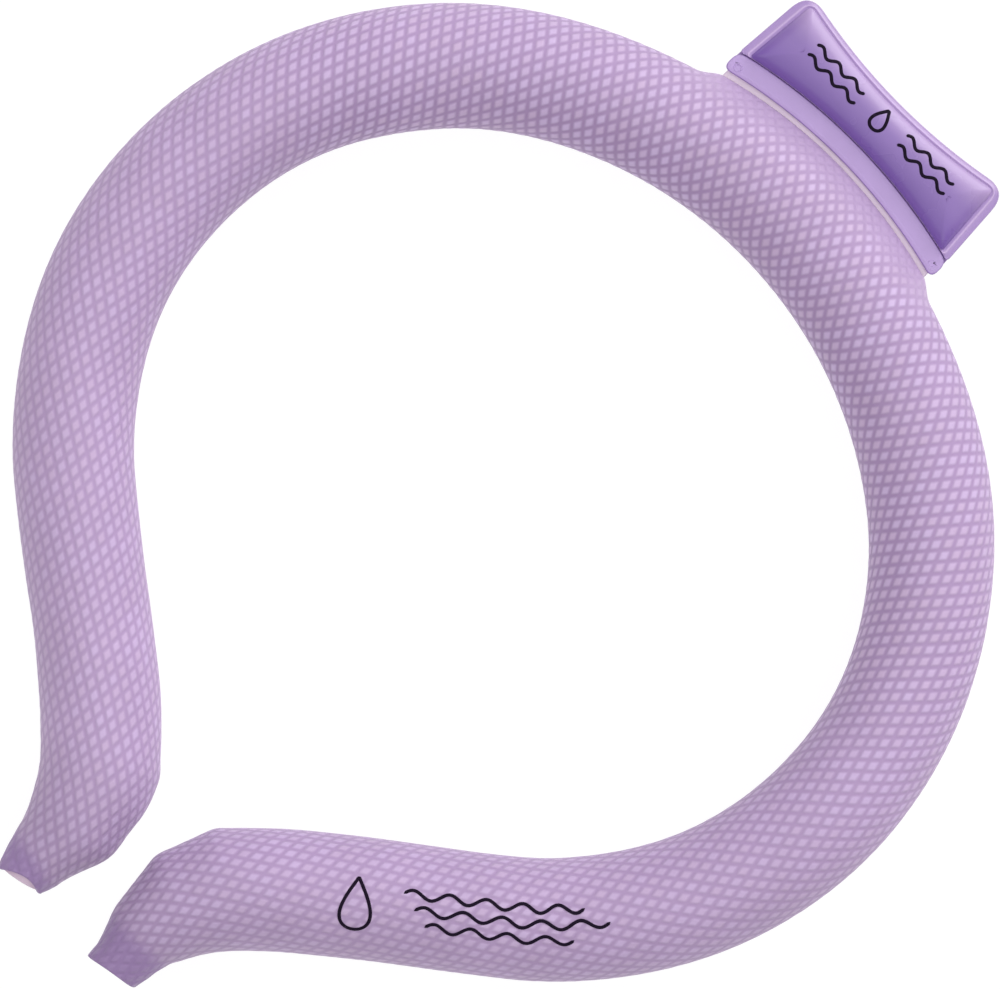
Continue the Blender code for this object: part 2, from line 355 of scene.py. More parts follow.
@dataclass(frozen=True)
class CoolingGel:
    """Soft cloudy gel with slow swirls of milky white."""

    clear_color: Color = (0.50, 0.36, 0.60)
    milky_color: Color = (0.74, 0.63, 0.80)

    def dress(self) -> bpy.types.Material:
        """The material."""
        sheet = NodeSheet("cooling gel")
        swirls = sheet.grain(70, 4, (1, 1, 2))
        body = sheet.blend(swirls.rise(0.35, 0.65), self.clear_color, self.milky_color)
        relief = sheet.bump(sheet.grain(300, 3), 0.0001, 0.4)
        return sheet.finish(Base_Color=body, Roughness=0.28 + swirls * 0.1, Normal=relief)


@dataclass(frozen=True)
class MotifInk:
    """Dark screen ink, slightly raised and uneven in its sheen."""

    color: Color = (0.006, 0.001, 0.012)
    worn_color: Color = (0.030, 0.012, 0.045)

    def dress(self) -> bpy.types.Material:
        """The material."""
        sheet = NodeSheet("motif ink")
        wear = sheet.grain(1800, 3)
        skin = sheet.blend(wear.rise(0.55, 0.75) * 0.3, self.color, self.worn_color)
        relief = sheet.bump(wear, 0.00002, 0.4)
        gloss = 0.5 + wear * 0.2
        return sheet.finish(Base_Color=skin, Roughness=gloss, Normal=relief, Specular_IOR_Level=0.12)


@dataclass(frozen=True)
class StudioFloor:
    """Plain pale acrylic of the studio floor, lit a little from below as a light table is."""

    color: Color = (0.145, 0.145, 0.145)
    clouded_color: Color = (0.155, 0.155, 0.155)
    glow: float = 0.90

    def dress(self) -> bpy.types.Material:
        """The material."""
        sheet = NodeSheet("studio floor")
        clouds = sheet.grain(400, 3)
        acrylic = sheet.blend(clouds.rise(0.3, 0.7), self.color, self.clouded_color)
        glow = {"Emission_Color": (1.0, 1.0, 1.0), "Emission_Strength": self.glow}
        return sheet.finish(Base_Color=acrylic, Roughness=0.8, Specular_IOR_Level=0.2, **glow)


# Meshes


def face_rows(rings: int, points: int, joined: bool) -> NDArray[np.int64]:
    """The corner numbers of the four-sided faces between rings of points.

    Args:
        rings: how many rings there are.
        points: how many points each ring has.
        joined: whether the last ring meets the first.

    Returns:
        One row of four numbers for each face.
    """
    ring = np.arange(rings if joined else rings - 1)[:, None]
    point = np.arange(points)[None, :]
    after_ring = (ring + 1) % rings
    after_point = (point + 1) % points
    corners = (
        ring * points + point,
        ring * points + after_point,
        after_ring * points + after_point,
        after_ring * points + point,
    )
    return np.stack(corners, axis=-1).reshape(-1, 4)


def ladder(start: int, points: int, turned: bool) -> NDArray[np.int64]:
    """Faces that close a ring by joining each point with the one across from it.

    Args:
        start: the number of the ring's first point.
        points: how many points the ring has, an even number.
        turned: whether the faces look the other way.

    Returns:
        One row of four numbers for each face.
    """
    step = np.arange(points // 2 - 1)
    rows = start + np.stack((step, step + 1, points - 2 - step, points - 1 - step), axis=-1)
    return rows[:, ::-1] if turned else rows


def ring_piece(
    name: str,
    rings: Array,
    material: bpy.types.Material,
    joined: bool = False,
    values: dict[str, Array] | None = None,
    lattice: tuple[Array, Array] | None = None,
) -> bpy.types.Object:
    """A closed piece whose skin runs through rings of points.

    Args:
        name: the piece's name.
        rings: points by ring, point and axis.
        material: the piece's material.
        joined: whether the last ring meets the first. If not, both are closed by ladders.
        values: numbers at each point, by name.
        lattice: the two pattern coordinates at each point.

    Returns:
        The new object.
    """
    ring_count, point_count, _ = rings.shape
    faces = [face_rows(ring_count, point_count, joined)]
    if not joined:
        faces.append(ladder(0, point_count, True))
        faces.append(ladder((ring_count - 1) * point_count, point_count, False))
    corners = np.concatenate(faces)
    mesh = bpy.data.meshes.new(name)
    mesh.vertices.add(ring_count * point_count)
    mesh.vertices.foreach_set("co", rings.astype(np.float32).ravel())
    mesh.loops.add(corners.size)
    mesh.loops.foreach_set("vertex_index", corners.astype(np.int32).ravel())
    mesh.polygons.add(len(corners))
    mesh.polygons.foreach_set("loop_start", np.arange(0, corners.size, 4, dtype=np.int32))
    mesh.update(calc_edges=True)
    mesh.polygons.foreach_set("use_smooth", np.ones(len(corners), dtype=bool))
    for key, value in (values or {}).items():
        store = mesh.attributes.new(key, "FLOAT", "POINT")
        store.data.foreach_set("value", np.broadcast_to(value, rings.shape[:2]).astype(np.float32).ravel())
    if lattice is not None:
        pairs = np.stack([part.ravel() for part in lattice], axis=-1)[corners.ravel()]
        mesh.uv_layers.new(name="lattice").data.foreach_set("uv", pairs.astype(np.float32).ravel())
    mesh.validate()
    mesh.materials.append(material)
    piece = bpy.data.objects.new(name, mesh)
    bpy.context.scene.collection.objects.link(piece)
    return piece


def settle(piece: bpy.types.Object, slot: str, *nodes: str) -> bpy.types.Object:
    """Makes a piece ride with the ring, and stand for the solids that it replaces.

    Args:
        piece: the finished piece.
        slot: not used.
        nodes: the solids that it stands for.

    Returns:
        The piece.
    """
    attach(piece, "root")
    if nodes:
        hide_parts(*nodes)
    log.info("%s: %d faces", piece.name, len(piece.data.polygons))
    return piece


# The ring's middle line


def smooth_step(value: Array, low: float | Array, high: float | Array) -> Array:
    """A smooth rise from 0 at low to 1 at high: three times the square less twice the cube."""
    t = np.clip((value - low) / (high - low), 0, 1)
    return t * t * (3 - 2 * t)


@dataclass(frozen=True)
class FormRow:
    """One section of a half: its mark from the back in millimetres, and shares of the tube's radius."""

    mark: float
    mouth: float
    outer: float
    height: float


RIGHT_FORM = (
    FormRow(0, 1.01, 1.00, 1.00),
    FormRow(30, 1.00, 1.00, 1.00),
    FormRow(50, 0.99, 1.04, 1.00),
    FormRow(70, 0.99, 1.02, 1.00),
    FormRow(90, 0.98, 1.03, 1.00),
    FormRow(110, 1.00, 1.045, 1.00),
    FormRow(130, 1.01, 1.02, 1.00),
    FormRow(150, 1.03, 0.975, 1.00),
    FormRow(170, 0.985, 0.98, 1.00),
    FormRow(190, 1.01, 0.965, 1.00),
    FormRow(200, 1.00, 0.985, 1.00),
    FormRow(207, 0.98, 1.00, 1.00),
    FormRow(210, 1.01, 0.98, 0.99),
    FormRow(212, 1.045, 0.96, 0.98),
    FormRow(214, 1.00, 0.935, 0.97),
    FormRow(217, 0.955, 0.885, 0.94),
    FormRow(220, 0.94, 0.83, 0.90),
    FormRow(222, 0.84, 0.79, 0.86),
    FormRow(225, 0.72, 0.725, 0.79),
    FormRow(228, 0.63, 0.64, 0.70),
    FormRow(231, 0.50, 0.585, 0.61),
    FormRow(233.5, 0.41, 0.56, 0.54),
    FormRow(235.5, 0.385, 0.53, 0.49),
)

LEFT_FORM = (
    FormRow(0, 1.01, 1.00, 1.00),
    FormRow(30, 1.01, 0.965, 1.00),
    FormRow(50, 1.01, 0.99, 1.00),
    FormRow(70, 1.05, 0.98, 1.00),
    FormRow(90, 1.025, 0.985, 1.00),
    FormRow(110, 1.01, 1.00, 1.00),
    FormRow(130, 0.98, 1.015, 1.00),
    FormRow(150, 0.975, 0.99, 1.00),
    FormRow(170, 0.925, 1.015, 1.00),
    FormRow(180, 0.93, 0.995, 1.00),
    FormRow(190, 0.955, 0.96, 1.00),
    FormRow(200, 0.965, 0.985, 1.00),
    FormRow(207, 0.94, 1.005, 1.00),
    FormRow(210, 0.96, 0.985, 0.99),
    FormRow(212, 1.00, 0.965, 0.98),
    FormRow(214, 0.985, 0.94, 0.97),
    FormRow(217, 0.935, 0.90, 0.94),
    FormRow(220, 0.85, 0.86, 0.90),
    FormRow(224, 0.79, 0.785, 0.82),
    FormRow(228, 0.585, 0.685, 0.70),
    FormRow(231, 0.49, 0.61, 0.61),
    FormRow(233.5, 0.44, 0.53, 0.54),
    FormRow(235.5, 0.37, 0.46, 0.49),
)


def smooth_table(marks: Array, values: Array, at: Array) -> Array:
    """A smooth curve through a table: a cubic between each two marks, with slopes from their neighbours.

    Args:
        marks: rising places of the table's rows.
        values: the value at each mark.
        at: the places to read.

    Returns:
        The value at each place, held level past both ends.
    """
    slopes = np.gradient(values, marks)
    slopes[0] = 0
    held = np.clip(at, marks[0], marks[-1])
    low = np.clip(np.searchsorted(marks, held, side="right") - 1, 0, len(marks) - 2)
    width = marks[low + 1] - marks[low]
    t = (held - marks[low]) / width
    rise = t * t * (3 - 2 * t)
    bend_in = t * (1 - t) ** 2 * slopes[low] * width
    bend_out = -t * t * (1 - t) * slopes[low + 1] * width
    return values[low] * (1 - rise) + values[low + 1] * rise + bend_in + bend_out


@dataclass(frozen=True)
class RingPath:
    """The tube's middle line: two tangent arcs, a straight leg and an elbow on each side, and its sections.

    A mark is a length along the line from the back, above 0 on the right half and below 0 on the left. A
    heading is counted clockwise from +X.
    """

    neck_width: float = 0.1275
    tube_diameter: float = 0.0205
    elbow_hollow_radius: float = 0.0186
    back_to_side: float = 1.345
    back_turn: float = radians(38.05)
    leg_heading: float = radians(141.5)
    tail_heading: float = radians(91.5)
    leg_length: float = 0.03822
    tail_straight: float = 0.0074
    end_slant: float = 0.21
    slant_reach: float = 0.012
    left_bow: float = 0.0015
    right_bow: float = 0.0004
    turn_swell: float = 0.00005
    lean_swell: float = 0.00004
    weld_reach: float = 0.0013
    weld_round: float = 0.30
    weld_half: float = 0.0245
    weld_run_out: float = 0.004
    pattern_pitch: float = 0.001894
    pattern_lean: float = radians(32.4)
    pattern_turn: float = 0.81

    @property
    def tube_radius(self) -> float:
        """The tube's radius."""
        return self.tube_diameter / 2

    @property
    def side_radius(self) -> float:
        """The radius of the middle line along the sides."""
        widest = self.neck_width / 2 + self.tube_radius
        return widest / (1 + (self.back_to_side - 1) * sin(self.back_turn))

    @property
    def back_radius(self) -> float:
        """The radius of the middle line along the back."""
        return self.back_to_side * self.side_radius

    @property
    def edge_radius(self) -> float:
        """How far the tube's outer side lies from the back arc's centre."""
        return self.back_radius + self.tube_radius

    @property
    def center_y(self) -> float:
        """The back arc's centre in Y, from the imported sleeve."""
        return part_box("film_sleeve")[1].y - self.edge_radius

    @property
    def runs(self) -> tuple[tuple[int, float, float], ...]:
        """The half line's runs: which way each turns, its radius and its length."""
        elbow = self.elbow_hollow_radius + self.tube_radius
        return (
            (1, self.back_radius, self.back_radius * self.back_turn),
            (1, self.side_radius, self.side_radius * (self.leg_heading - self.back_turn)),
            (0, 1.0, self.leg_length),
            (-1, elbow, elbow * (self.leg_heading - self.tail_heading)),
            (0, 1.0, self.tail_straight),
        )

    @property
    def half_length(self) -> float:
        """The length of half the line."""
        return sum(length for _, _, length in self.runs)

    def spots(self, marks: Array) -> tuple[Array, Array]:
        """Places and headings along the line, found run by run.

        Args:
            marks: lengths from the back, of any shape. One past the end goes straight on.

        Returns:
            The places, with X and Y on the last axis, and the headings.
        """
        left = np.abs(marks)
        heading = np.zeros_like(left)
        x = np.zeros_like(left)
        y = np.full_like(left, self.back_radius)
        for turned, radius, length in self.runs:
            last = (turned, radius, length) == self.runs[-1]
            gone = np.clip(left, 0, None if last else length)
            ahead = heading + turned * gone / radius
            if turned:
                x = x + turned * radius * (np.sin(ahead) - np.sin(heading))
                y = y + turned * radius * (np.cos(ahead) - np.cos(heading))
            else:
                x = x + gone * np.cos(heading)
                y = y - gone * np.sin(heading)
            heading = ahead
            left = left - gone
        sign = np.where(marks < 0, -1.0, 1.0)
        return np.stack((x * sign, y + self.center_y), axis=-1), heading * sign

    def half_sizes(self, marks: Array) -> tuple[Array, Array, Array]:
        """The section's three half sizes along the line: to the mouth's side, to the outer side and up.

        Args:
            marks: lengths from the back.

        Returns:
            The half sizes, in metres.
        """
        sizes = []
        for field in ("mouth", "outer", "height"):
            both = []
            for rows in (LEFT_FORM, RIGHT_FORM):
                at = np.array([row.mark for row in rows]) / 1000
                value = np.array([getattr(row, field) for row in rows])
                both.append(smooth_table(at, value, np.abs(marks)))
            sizes.append(np.where(marks < 0, both[0], both[1]) * self.tube_radius)
        return sizes[0], sizes[1], sizes[2]

    def swell(self, marks: Array, angles: Array) -> Array:
        """Slow unevenness of the soft film, as a length inwards: two long waves that turn round the tube."""
        turn = 0.5 + 0.5 * np.sin(marks * 95 + 1.3 * np.cos(angles))
        lean = 0.5 + 0.5 * np.sin(marks * 41 - angles)
        return self.turn_swell * turn + self.lean_swell * lean

    def weld_edge(self, marks: Array, angles: Array) -> Array:
        """How far the tag's weld draws the film out: a bell round the outer side, level along the tag."""
        from_side = np.minimum(angles, 2 * pi - angles)
        along = np.clip((self.weld_half - np.abs(marks)) / self.weld_run_out, 0, 1)
        bell = np.exp(-((from_side / self.weld_round) ** 2))
        return self.weld_reach * along**2 * (3 - 2 * along) * bell

    def skin(self, marks: Array, angles: Array, inset: Array | float = 0.0, bowed: float = 1.0) -> Array:
        """Points on the tube: the line's place, plus the section's half sizes times the angle's cos and sin.

        Args:
            marks: lengths from the back.
            angles: angles round the section, 0 at the outer side and a quarter turn at the top.
            inset: how far inside the surface the points lie.
            bowed: 1 where the film's upper end is bowed back, and 0 where it isn't.

        Returns:
            The points, with X, Y and Z on the last axis.
        """
        marks, angles, inset = np.broadcast_arrays(marks, angles, inset)
        spot, heading = self.spots(marks)
        mouth, outer, height = self.half_sizes(marks)
        across = (np.where(np.cos(angles) > 0, outer, mouth) - inset) * np.cos(angles)
        across = across + self.weld_edge(marks, angles)
        up = (height - inset) * np.sin(angles)
        near_end = np.clip((np.abs(marks) - self.half_length + self.slant_reach) / self.slant_reach, 0, 1)
        bow = np.where(marks < 0, self.left_bow, -self.right_bow) * np.clip(np.sin(angles), 0, 1) ** 2
        ahead = (bowed * bow - self.end_slant * across) * near_end**2
        x = spot[..., 0] + np.sin(heading) * across + np.cos(heading) * ahead
        y = spot[..., 1] + np.cos(heading) * across - np.sin(heading) * ahead
        return np.stack((x, y, self.tube_radius + up), axis=-1)

    def lattice(self, marks: Array, angles: Array) -> tuple[Array, Array]:
        """The print's two coordinates. The film is printed flat, and bends less there than in the ring.

        A point's place on the flat sheet is the flat line's place plus its arc length from the tube's top,
        and each coordinate counts the lines of one family, whose normals lean to both sides of X.

        Args:
            marks: lengths from the back, of the shape of the points.
            angles: angles round the section.

        Returns:
            The two coordinates at each point.
        """
        fine = np.linspace(-self.half_length - 0.002, self.half_length + 0.002, 4001)
        turned = self.pattern_turn * self.spots(fine)[1]
        step = fine[1] - fine[0]
        flat_x = np.cumsum(np.cos(turned)) * step
        flat_y = np.cumsum(-np.sin(turned)) * step
        middle = len(fine) // 2
        line_x = np.interp(marks, fine, flat_x - flat_x[middle])
        line_y = np.interp(marks, fine, flat_y - flat_y[middle])
        turn = np.interp(marks, fine, turned)
        mouth, outer, height = self.half_sizes(marks)
        folded = np.minimum(angles, 2 * pi - angles)
        reach = np.where(folded < pi / 2, outer, mouth) * 0.5 + height * 0.5
        arc = (pi / 2 - folded) * reach
        u = (line_x + arc * np.sin(turn)) * cos(self.pattern_lean)
        v = (line_y + arc * np.cos(turn)) * sin(self.pattern_lean)
        return (u + v) / self.pattern_pitch, (u - v) / self.pattern_pitch


# Sub-assemblies


@dataclass
class FilmTube:
    """The printed film tube with its two tails, hollow, with its relief in the mesh."""

    path: RingPath
    film: PrintedFilm
    wall: float = 0.001
    rings_outside: int = 920
    rings_inside: int = 70
    points_round: int = 96
    relief: float = 0.00012
    print_on_legs: float = 0.54
    more_at_back: float = 0.18
    more_inside: float = 0.10
    less_outside: float = 0.08
    back_ends: tuple[float, float] = (0.076, 0.102)
    tag_fade: float = 0.85
    tag_fade_ends: tuple[float, float] = (0.020, 0.029)
    left_tip: float = 0.004
    right_tip: float = 0.0075
    tip_share: float = 0.8

    def pillows(self, first: Array, second: Array) -> Array:
        """The relief's height, 1 in the middle of a window: half the sum of both families' cosine waves."""
        waves = np.cos(2 * pi * (first - 0.5)) + np.cos(2 * pi * (second - 0.5))
        return 0.5 + 0.25 * waves

    def print_strength(self, marks: Array, angles: Array) -> Array:
        """How strong the print is: strongest inside the back, softer on the legs, faded by the tag's weld."""
        far = np.abs(marks)
        back = 1 - smooth_step(far, *self.back_ends)
        to_outer = np.clip(np.cos(angles), 0, 1)
        to_mouth = np.clip(-np.cos(angles), 0, 1)
        by_tag = (1 - smooth_step(far, *self.tag_fade_ends)) * smooth_step(to_outer, 0.55, 0.97)
        plain = self.print_on_legs + self.more_at_back * back
        plain = plain + self.more_inside * back * to_mouth - self.less_outside * to_outer
        return plain * (1 - self.tag_fade * by_tag)

    def tip_strength(self, marks: Array, angles: Array) -> Array:
        """1 where the film is plain and darker: the tails' last stretch, and further along the outer side."""
        reach = np.where(marks < 0, self.left_tip, self.right_tip)
        start = self.path.half_length - reach * (1 + 0.5 * np.where(marks < 0, np.cos(angles), 0))
        return self.tip_share * smooth_step(np.abs(marks), start - 0.0015, start + 0.0025)

    def depth(self, marks: Array) -> Array:
        """How much darker the film is made, from 0 to 1: a little on the right leg, which is painted shade,
        and most in the tails, whose colour is deeper.
        """
        # painted shade: the right leg is darkened a little, as light falls off towards it; the tails' deeper
        # colour is their own
        leg = 0.18 * smooth_step(marks, 0.095, 0.135)
        return leg + (0.5 - leg) * smooth_step(np.abs(marks), 0.205, 0.232)

    def build(self) -> bpy.types.Object:
        """Builds the tube: the skin, a lip at each end and the inner wall, as one closed ring of rings."""
        half = self.path.half_length
        outside = np.linspace(-half, half, self.rings_outside)
        turn = np.linspace(0, pi, 7)[1:-1]
        lip_ahead = half + 0.00035 * np.sin(turn)
        lip_inset = self.wall / 2 * (1 - np.cos(turn))
        inside = np.linspace(half, -half, self.rings_inside)
        marks = np.concatenate((outside, lip_ahead, inside, -lip_ahead))
        walls = np.full(self.rings_inside, self.wall)
        inset = np.concatenate((np.zeros(self.rings_outside), lip_inset, walls, lip_inset[::-1]))
        angles = 2 * pi * np.arange(self.points_round)[None, :] / self.points_round
        marks, angles = np.broadcast_arrays(marks[:, None], angles)
        first, second = self.path.lattice(marks, angles)
        outer_skin = np.clip(1 - inset[:, None] / (self.wall / 4), 0, 1)
        strength = self.print_strength(marks, angles)
        dent = self.relief * (1 - self.pillows(first, second)) * strength * outer_skin
        dent = dent + self.path.swell(marks, angles) * outer_skin
        points = self.path.skin(marks, angles, inset[:, None] + dent)
        tips = self.tip_strength(marks, angles)
        values = {"print": strength, "tip": tips, "depth": self.depth(marks)}
        tube = ring_piece("film_tube", points, self.film.dress(), True, values, (first, second))
        settle(tube, "printed_film", "film_sleeve")
        return tube


@dataclass
class EndSeal:
    """The seal pressed into one tail's end, set back from the film's lip."""

    path: RingPath
    side: Side
    film: WeldedFilm
    node: str
    depth: float = 0.0045
    wall: float = 0.00075
    set_back: float = 0.0002
    bulge: float = 0.0003
    points_round: int = 48

    def build(self) -> bpy.types.Object:
        """Builds the seal: rings along the tail's end, closing over a low bulge. It runs on to its middle."""
        half = self.path.half_length
        turn = np.linspace(0, 0.9, 8)
        straight = np.linspace(-self.depth, -self.set_back, 8)
        ahead = np.concatenate((straight, self.bulge * np.sin(turn * pi / 2) - self.set_back))
        room = self.path.tube_radius * 0.3
        inset = self.wall + np.concatenate((np.zeros(8), room * (1 - np.cos(turn * pi / 2))))
        marks = self.side.value * (half + ahead)
        angles = 2 * pi * (np.arange(self.points_round) + 0.5) / self.points_round
        if self.side is Side.LEFT:
            marks, inset = marks[::-1], inset[::-1]
        points = self.path.skin(marks[:, None], angles[None, :], inset[:, None], bowed=0.0)
        pressed = np.clip(inset - self.wall, 0, room)[:, None] / room
        name = f"{self.side.name.lower()}_end_seal"
        seal = ring_piece(name, points, self.film.dress(), values={"pressed": pressed})
        return settle(seal, "clear_film", self.node)


def corner_points(before: Array, corner: Array, after: Array, count: int) -> Array:
    """Points round a corner: a quadratic curve from one edge's point to the next's, drawn to the corner."""
    t = np.linspace(0, 1, count)[:, None]
    return before * (1 - t) ** 2 + corner * 2 * t * (1 - t) + after * t**2


def rounded_loop(edges: list[Array], radii: list[float], corner_count: int) -> Array:
    """A closed outline of edges with rounded corners, with the same number of points whatever its size.

    Args:
        edges: points along each edge, evenly spaced, each edge beginning where the last one ends.
        radii: how far the corner at each edge's start is cut back.
        corner_count: how many points each corner takes.

    Returns:
        The outline's points, with X and Y.
    """
    pieces = []
    cuts = []
    for i, edge in enumerate(edges):
        length = np.linalg.norm(np.diff(edge, axis=0), axis=1).sum()
        low = radii[i] / length
        high = 1 - radii[(i + 1) % len(radii)] / length
        share = np.linspace(0, 1, len(edge))
        at = np.linspace(low, high, len(edge))
        cuts.append(np.stack([np.interp(at, share, edge[:, axis]) for axis in range(2)], axis=-1))
    for i, cut in enumerate(cuts):
        pieces.append(corner_points(cuts[i - 1][-1], edges[i][0], cut[0], corner_count)[:-1])
        pieces.append(cut[:-1])
    return np.concatenate(pieces)


@dataclass(frozen=True)
class TagPlan:
    """The tag's outlines in plan, about the back arc's centre."""

    path: RingPath
    foot_width: float = 0.0484
    top_width: float = 0.0462
    reach: float = 0.0153
    top_rise: float = 0.0026
    corner_radius: float = 0.0042
    side_rim: float = 0.0018
    top_rim: float = 0.0012
    foot_rim: float = 0.0001
    pouch_corner: float = 0.0012
    pouch_end_slope: float = 0.005
    band_width: float = 0.0036
    flange_reveal: float = 0.002
    gap: float = 0.0003
    film_seam: float = 0.00004
    long_count: int = 73
    side_count: int = 25
    corner_count: int = 11

    @property
    def band_radius(self) -> float:
        """How far the band's lower edge lies from the back arc's centre."""
        return self.path.edge_radius + self.flange_reveal

    @property
    def pouch_foot(self) -> float:
        """How far the pouch's foot lies from the back arc's centre."""
        return self.band_radius + self.band_width + self.film_seam + self.foot_rim

    def top_height(self, x: Array, inset: float) -> Array:
        """The far edge's distance in Y at one X: level in its middle and rising as the square of X."""
        return self.path.edge_radius + self.reach - inset + self.top_rise * (2 * x / self.top_width) ** 2

    def arc(self, radius: float, half_width: float) -> Array:
        """Points along an arc about the back arc's centre, even in X."""
        x = np.linspace(-half_width, half_width, self.long_count)
        return np.stack((x, np.sqrt(radius**2 - x**2)), axis=-1)

    def outline(self, foot_radius: float, insets: tuple[float, float], radii: tuple[float, float]) -> Array:
        """A loop round the tag: an arc foot, leaning sides and a far edge that dips in its middle.

        Args:
            foot_radius: the foot arc's radius.
            insets: how far the sides and the far edge lie inside the tag's own.
            radii: the corner radii at the foot and at the far edge.

        Returns:
            The loop's points from the middle of the right side on, against the clock.
        """
        side_inset, top_inset = insets
        foot = self.arc(foot_radius, self.foot_width / 2 - side_inset)
        x = np.linspace(self.top_width / 2 - side_inset, side_inset - self.top_width / 2, self.long_count)
        top = np.stack((x, self.top_height(x, top_inset)), axis=-1)
        share = np.linspace(0, 1, self.side_count)[:, None]
        right = foot[-1] * (1 - share) + top[0] * share
        left = top[-1] * (1 - share) + foot[0] * share
        cuts = [radii[0], radii[0], radii[1], radii[1]]
        loop = rounded_loop([foot, right, top, left], cuts, self.corner_count)
        return np.roll(loop, -self.right_middle, axis=0)

    def strip(self, inner: float, outer: float, half_width: float, end_radius: float, inset: float) -> Array:
        """A loop round a curved strip along the back arc, with rounded corners."""
        low = self.arc(inner + inset, half_width - inset)
        high = self.arc(outer - inset, half_width - inset)[::-1]
        share = np.linspace(0, 1, self.side_count)[:, None]
        right = low[-1] * (1 - share) + high[0] * share
        left = high[-1] * (1 - share) + low[0] * share
        radius = max(end_radius - inset * 0.7, 0.00015)
        loop = rounded_loop([low, right, high, left], [radius] * 4, self.corner_count)
        return np.roll(loop, -self.right_middle, axis=0)

    @property
    def right_middle(self) -> int:
        """Which point of a loop is the middle of its right side."""
        return 2 * (self.corner_count - 1) + self.long_count - 1 + self.side_count // 2

    def spine(self, points: Array) -> Array:
        """The pouch's middle line: at each point's X, halfway between the pouch's foot and its far edge."""
        half = self.top_width / 2 - self.side_rim - self.pouch_end_slope
        x = np.clip(points[:, 0], -half, half)
        foot = np.sqrt(self.pouch_foot**2 - x**2)
        return np.stack((x, (foot + self.top_height(x, self.top_rim)) / 2), axis=-1)

    def lift(self, loops: list[Array], heights: Array | list[float]) -> Array:
        """Rings of points from plan loops and their heights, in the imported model's place."""
        rings = [np.column_stack((loop, np.full(len(loop), height))) for loop, height in zip(loops, heights)]
        stacked = np.array(rings)
        stacked[..., 1] += self.path.center_y
        return stacked


